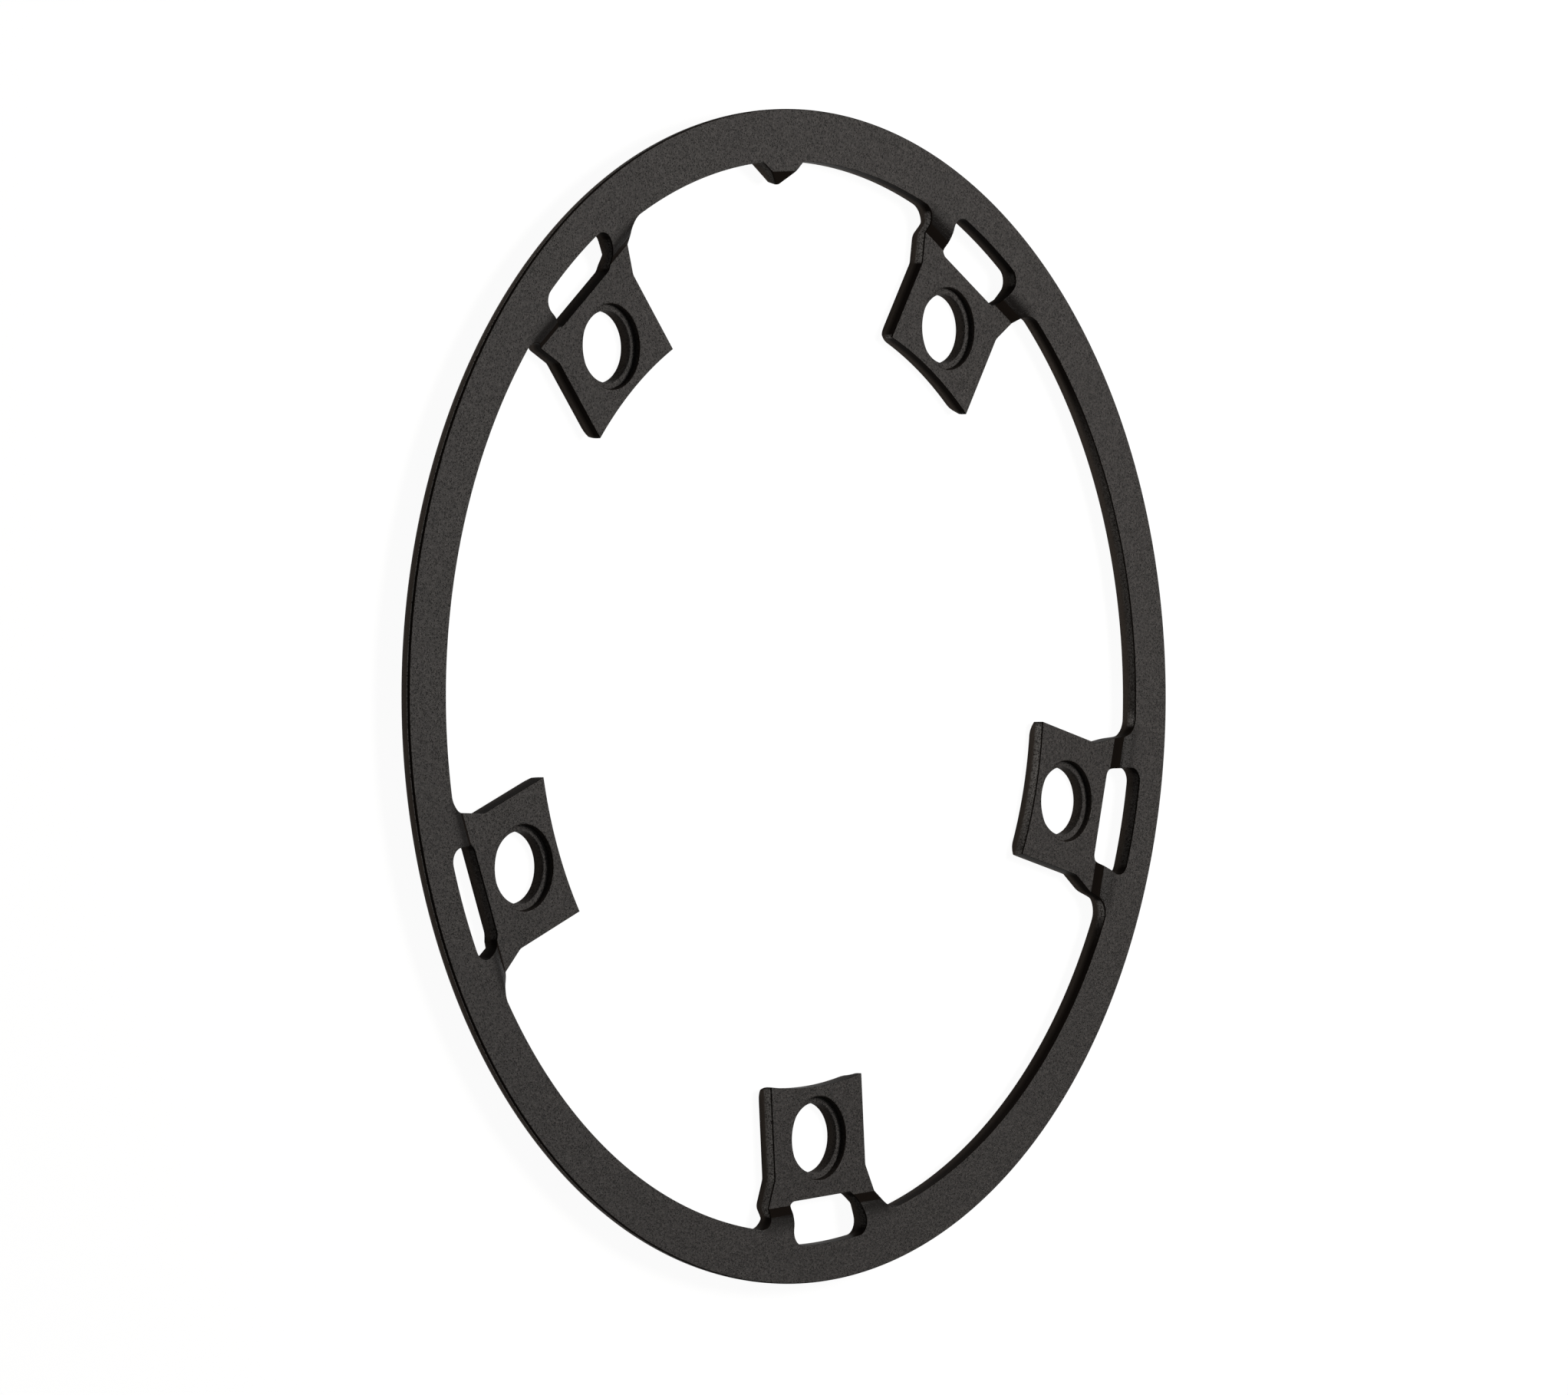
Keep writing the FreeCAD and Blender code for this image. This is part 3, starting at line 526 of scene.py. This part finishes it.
def buildGuard():
    lipRound = guard["ledgeRound"] + guard["ledgeLip"]
    bm = drawPlate(lipRound)
    dropEdges(bm, guard["frontEdge"], fineness["frontEdge"], lipRound)
    cutBendLines(bm)
    rear = drawPlate(guard["holeRound"])
    dropEdges(rear, guard["rearEdge"], fineness["rearEdge"], guard["holeRound"])
    rear.normal_update()
    for f in rear.faces:
        f.material_index = 1 if f.normal.z < tilts["wall"] else 0
    cutBendLines(rear)
    for v in rear.verts:
        v.co.z = -guard["sheet"] - v.co.z
    print("front and rear of the sheet drawn")

    tornAndLit = bm.verts.layers.float.new("tornAndLit")
    outline = []
    for e in bm.edges:
        spot = e.verts[0].co
        onRim = spot.xy.length > guard["rimJoin"] - guard["plainBand"]
        if e.is_boundary and not onRim and not nearHole(spot, lipRound + walls["holeTouch"]):
            outline.append(e)
    dropWalls(bm, outline, tornAndLit)
    for piece in (rear, turnHole(), turnRim()):
        joinInto(bm, piece)
    bmesh.ops.recalc_face_normals(bm, faces=bm.faces[:])
    print("walls, holes and rim joined, open edges:", sum(e.is_boundary for e in bm.edges))

    gradeWalls(bm, tornAndLit, bm.verts.layers.float.new("rolledSheen"))
    drawn = bm.verts.layers.float.new("drawn")
    for v in bm.verts:
        share = clamp(-v.co.z / guard["sheet"])
        drawCorner(v, share)
        bendTab(v, share, drawn)
        bevelPointer(v, share)
    shadeSlopes(bm, lipRound)
    bmesh.ops.translate(bm, verts=bm.verts[:], vec=(0, 0, guard["sheet"] + guard["recess"]))
    bmesh.ops.scale(bm, verts=bm.verts[:], vec=(0.001, 0.001, 0.001))  # to metres
    for f in bm.faces:
        f.smooth = True
    mesh = bpy.data.meshes.new("guardSheet")
    bm.to_mesh(mesh)
    bm.free()
    sheet = bpy.data.objects.new("guardSheet", mesh)
    bpy.context.scene.collection.objects.link(sheet)
    smooth = sheet.modifiers.new("evenShading", "WEIGHTED_NORMAL")
    smooth.mode = "FACE_AREA"
    smooth.weight = 50
    print("guard bent to shape:", len(mesh.polygons), "faces")
    return sheet


# Sizes of grain and relief are in metres.
coat = {
    "dark": (0.003, 0.0027, 0.0025, 1),
    "light": (0.054, 0.0489, 0.0465, 1),
    "drawn": (0.006, 0.005, 0.0045, 1),  # painted shade: darker, and smoother, where the sheet is drawn over the ramp
    "roughness": (0.58, 0.44),  # pits, crests
    "drawnRoughness": 0.36,
    "gloss": 0.33,
    "drawnGloss": 0.09,
    "grainSize": 0.00037,
    "relief": 0.00023,
    "drawnRelief": 0.3,  # as a share of the relief
}
cutWall = {
    "smooth": (0.009, 0.007, 0.0058, 1),
    # light torn metal, which also stands in for painted light on walls facing -X and at the hole's edge
    "tornAndLit": (0.4, 0.385, 0.37, 1),
    # painted reflection on rolled rear edges and the rim's roll
    "rolledSheen": (0.085, 0.071, 0.061, 1),
    "roughness": (0.32, 0.7),  # smooth, torn and lit
    "gloss": 0.002,
    "grainShare": 0.8,  # of the coat's grain size
    "relief": 0.00012,
}
grainLook = {
    "fineScale": 2.7,
    "fineShare": 0.45,
    "pitEdge": (0.12, 0.34),
    "pitFloor": 0.4,
    "toneRange": (0.33, 0.66),
}
mixSockets = {"FLOAT": (2, 3, 0), "RGBA": (6, 7, 2)}  # first, second, result of a Mix node


# Links a socket, or sets it to a plain value.
def feed(tree, target, source):
    if isinstance(source, bpy.types.NodeSocket):
        tree.links.new(source, target)
    else:
        target.default_value = source


def addNode(tree, kind, place, **values):
    node = tree.nodes.new(kind)
    node.location = place
    for key, value in values.items():
        if hasattr(node, key):
            setattr(node, key, value)
        else:
            feed(tree, node.inputs[key], value)
    return node


def addMath(tree, place, operation, first, second):
    node = addNode(tree, "ShaderNodeMath", place, operation=operation)
    feed(tree, node.inputs[0], first)
    feed(tree, node.inputs[1], second)
    return node.outputs[0]


# Takes a value from one range to another.
def addRange(tree, place, value, target, source=(0.0, 1.0)):
    node = addNode(tree, "ShaderNodeMapRange", place, Value=value)
    for key, ends in (("From", source), ("To", target)):
        node.inputs[key + " Min"].default_value = ends[0]
        node.inputs[key + " Max"].default_value = ends[1]
    return node.outputs["Result"]


def addMix(tree, place, share, first, second, kind="RGBA"):
    node = addNode(tree, "ShaderNodeMix", place, data_type=kind)
    firstSocket, secondSocket, result = mixSockets[kind]
    feed(tree, node.inputs[0], share)
    feed(tree, node.inputs[firstSocket], first)
    feed(tree, node.inputs[secondSocket], second)
    return node.outputs[result]


def addAttribute(tree, place, name):
    return addNode(tree, "ShaderNodeAttribute", place, attribute_name=name).outputs["Fac"]


# Fine pitted grain of the sprayed coat: a tone mask and a height.
def makeGrainGroup():
    group = bpy.data.node_groups.new("coatGrain", "ShaderNodeTree")
    group.interface.new_socket("Size", in_out="INPUT", socket_type="NodeSocketFloat")
    group.interface.new_socket("Tone", in_out="OUTPUT", socket_type="NodeSocketFloat")
    group.interface.new_socket("Height", in_out="OUTPUT", socket_type="NodeSocketFloat")
    size = addNode(group, "NodeGroupInput", (-900, 0)).outputs["Size"]
    leave = addNode(group, "NodeGroupOutput", (700, 0))
    place = addNode(group, "ShaderNodeTexCoord", (-900, 200)).outputs["Object"]
    scale = addMath(group, (-700, 0), "DIVIDE", 1.0, size)
    fineScale = addMath(group, (-700, -200), "MULTIPLY", scale, grainLook["fineScale"])
    peel = addNode(group, "ShaderNodeTexNoise", (-450, 200), Vector=place, Scale=scale,
                   Detail=2.0, Roughness=0.55).outputs["Fac"]
    fine = addNode(group, "ShaderNodeTexNoise", (-450, -50), Vector=place, Scale=fineScale,
                   Detail=2.0, Roughness=0.6).outputs["Fac"]
    pits = addNode(group, "ShaderNodeTexVoronoi", (-450, -300), Vector=place, Scale=scale)
    depth = (grainLook["pitFloor"], 1.0)
    pitMask = addRange(group, (-200, -300), pits.outputs["Distance"], depth, grainLook["pitEdge"])
    blend = addMix(group, (-200, 100), grainLook["fineShare"], peel, fine, "FLOAT")
    pitted = addMath(group, (50, 0), "MULTIPLY", blend, pitMask)
    tone = addRange(group, (300, 100), pitted, (0.0, 1.0), grainLook["toneRange"])
    group.links.new(tone, leave.inputs["Tone"])
    group.links.new(pitted, leave.inputs["Height"])
    return group


def addGrain(tree, place, group, size):
    grain = addNode(tree, "ShaderNodeGroup", place)
    grain.node_tree = group
    grain.inputs["Size"].default_value = size
    return grain.outputs["Tone"], grain.outputs["Height"]


def startMaterial(name):
    material = bpy.data.materials.new(name)
    material.use_nodes = True
    return material, material.node_tree


def makeCoat(group):
    material, tree = startMaterial("blackCoat")
    tone, height = addGrain(tree, (-900, 100), group, coat["grainSize"])
    # painted shade: the drawn mask darkens the coat over the ramps and their shoulders, and also smooths
    # it
    drawn = addAttribute(tree, (-900, 350), "drawn")
    grained = addMix(tree, (-600, 250), tone, coat["dark"], coat["light"])
    colour = addMix(tree, (-350, 250), drawn, grained, coat["drawn"])
    gloss = addRange(tree, (-150, 450), drawn, (coat["gloss"], coat["drawnGloss"]))
    grainRough = addRange(tree, (-350, 0), tone, coat["roughness"])
    rough = addMix(tree, (-150, 0), drawn, grainRough, coat["drawnRoughness"], "FLOAT")
    ease = addRange(tree, (-600, -150), drawn, (1.0, coat["drawnRelief"]))
    eased = addMath(tree, (-600, -400), "MULTIPLY", height, ease)
    bump = addNode(tree, "ShaderNodeBump", (-350, -300), Strength=1.0,
                   Distance=coat["relief"], Height=eased)
    shader = tree.nodes["Principled BSDF"]
    feed(tree, shader.inputs["Base Color"], colour)
    feed(tree, shader.inputs["Specular IOR Level"], gloss)
    feed(tree, shader.inputs["Roughness"], rough)
    feed(tree, shader.inputs["Normal"], bump.outputs["Normal"])
    return material


def makeCutWall(group):
    material, tree = startMaterial("coatedCut")
    tone, height = addGrain(tree, (-900, 100), group, coat["grainSize"] * cutWall["grainShare"])
    # The torn colour carries painted light on walls facing -X; the rolled colour is a painted
    # reflection.
    tornAndLit = addAttribute(tree, (-900, 350), "tornAndLit")
    rolledSheen = addAttribute(tree, (-650, 550), "rolledSheen")
    ruggedAndLit = addMath(tree, (-650, 300), "MULTIPLY", tornAndLit, tone)
    tornLitColour = addMix(tree, (-400, 250), ruggedAndLit, cutWall["smooth"], cutWall["tornAndLit"])
    colour = addMix(tree, (-200, 350), rolledSheen, tornLitColour, cutWall["rolledSheen"])
    rough = addRange(tree, (-400, 0), tornAndLit, cutWall["roughness"])
    raised = addMath(tree, (-650, -200), "MULTIPLY", tornAndLit, height)
    bump = addNode(tree, "ShaderNodeBump", (-400, -250), Strength=1.0,
                   Distance=cutWall["relief"], Height=raised)
    shader = tree.nodes["Principled BSDF"]
    feed(tree, shader.inputs["Base Color"], colour)
    feed(tree, shader.inputs["Specular IOR Level"], cutWall["gloss"])
    feed(tree, shader.inputs["Roughness"], rough)
    feed(tree, shader.inputs["Normal"], bump.outputs["Normal"])
    return material


sheet = buildGuard()
grainGroup = makeGrainGroup()
sheet.data.materials.append(makeCoat(grainGroup))
sheet.data.materials.append(makeCutWall(grainGroup))
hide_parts("chainring_guard")
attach(sheet, "root")
print("coat laid on")

studio = {
    "floorSize": 12.0,
    "floorDrop": 0.0001,
    "floorWhite": 0.95,  # plain white that the camera and reflections see
    "floorShade": 0.09,  # what the lamps add to it outside the shadow
    "floorTone": 0.6,
    "fill": 0.12,
    "skyFade": 0.1,  # height where reflections stop seeing white all round
    "lampTone": (1.0, 0.96, 0.92),
    "lamps": {  # place, size in metres, power in watts
        "key": ((0.175, 0.085, 0.4), 0.2, 1.75),
    },
}
view = {
    "place": (-0.946208, 0.062287, 0.801309),
    "turn": (0.09557, -49.79145, -3.90114),  # degrees
    "lens": 194.306,
    "sensor": 36,
}


def grey(level):
    return (level, level, level, 1)


# 1 for rays that show the background: from the camera, off gloss and through glass.
def backgroundRays(tree, place):
    x, y = place
    rays = addNode(tree, "ShaderNodeLightPath", place).outputs
    seen = addMath(tree, (x + 200, y), "MAXIMUM", rays["Is Camera Ray"], rays["Is Glossy Ray"])
    return addMath(tree, (x + 400, y), "MAXIMUM", seen, rays["Is Transmission Ray"])


def joinShaders(tree, kind, place, *sources):
    node = addNode(tree, kind, place)
    for target, source in zip(node.inputs, sources):
        tree.links.new(source, target)
    return node.outputs[0]


def layFloor():
    bm = bmesh.new()
    bmesh.ops.create_grid(bm, x_segments=1, y_segments=1, size=studio["floorSize"] / 2,
                          matrix=Matrix.Translation((0, 0, -studio["floorDrop"])))
    mesh = bpy.data.meshes.new("floor")
    bm.to_mesh(mesh)
    bm.free()
    floor = bpy.data.objects.new("floor", mesh)
    bpy.context.scene.collection.objects.link(floor)
    material, tree = startMaterial("paleFloor")
    tree.nodes.clear()
    matt = addNode(tree, "ShaderNodeBsdfDiffuse", (0, 200), Color=grey(studio["floorTone"]))
    white = addNode(tree, "ShaderNodeEmission", (-250, 0), Color=grey(1), Strength=studio["floorWhite"])
    shade = addNode(tree, "ShaderNodeBsdfDiffuse", (-250, -150), Color=grey(studio["floorShade"]))
    pale = joinShaders(tree, "ShaderNodeAddShader", (0, 0), white.outputs[0], shade.outputs[0])
    shown = backgroundRays(tree, (-700, -300))
    top = joinShaders(tree, "ShaderNodeMixShader", (250, 100), shown, matt.outputs[0], pale)
    under = addNode(tree, "ShaderNodeNewGeometry", (250, 400)).outputs["Backfacing"]
    clear = addNode(tree, "ShaderNodeBsdfTransparent", (250, -100)).outputs[0]  # seen from below
    both = joinShaders(tree, "ShaderNodeMixShader", (500, 100), under, top, clear)
    leave = addNode(tree, "ShaderNodeOutputMaterial", (750, 100))
    tree.links.new(both, leave.inputs[0])
    mesh.materials.append(material)


# The camera sees white all round, gloss and glass only up to a low height above the floor.
def paintSky():
    world = bpy.data.worlds.new("studio")
    bpy.context.scene.world = world
    world.use_nodes = True
    tree = world.node_tree
    around = addNode(tree, "ShaderNodeTexCoord", (-1100, 300)).outputs["Generated"]
    split = addNode(tree, "ShaderNodeSeparateXYZ", (-900, 300), Vector=around)
    low = addRange(tree, (-700, 300), split.outputs["Z"], (1.0, 0.0), (0.0, studio["skyFade"]))
    reflected = addMath(tree, (-500, 150), "MULTIPLY", low, backgroundRays(tree, (-1100, 0)))
    seen = addNode(tree, "ShaderNodeLightPath", (-700, -250)).outputs["Is Camera Ray"]
    shown = addMath(tree, (-350, 0), "MAXIMUM", reflected, seen)
    sky = tree.nodes["Background"]
    sky.inputs["Color"].default_value = grey(1)
    feed(tree, sky.inputs["Strength"], addRange(tree, (-200, 0), shown, (studio["fill"], 1.0)))


def hangLights():
    for name, (place, size, power) in studio["lamps"].items():
        lamp = bpy.data.lights.new(name, "AREA")
        lamp.shape = "DISK"
        lamp.size = size
        lamp.energy = power
        lamp.color = studio["lampTone"]
        holder = bpy.data.objects.new(name, lamp)
        holder.location = place
        holder.rotation_euler = (-Vector(place)).to_track_quat("-Z", "Y").to_euler()
        bpy.context.scene.collection.objects.link(holder)


def setCamera():
    lens = bpy.data.cameras.new("camera")
    lens.lens = view["lens"]
    lens.sensor_width = view["sensor"]
    lens.sensor_fit = "HORIZONTAL"
    camera = bpy.data.objects.new("camera", lens)
    camera.location = view["place"]
    camera.rotation_euler = [math.radians(angle) for angle in view["turn"]]
    bpy.context.scene.collection.objects.link(camera)
    bpy.context.scene.camera = camera


layFloor()
paintSky()
hangLights()
setCamera()
bpy.context.scene.view_settings.view_transform = "Standard"
print("studio set")
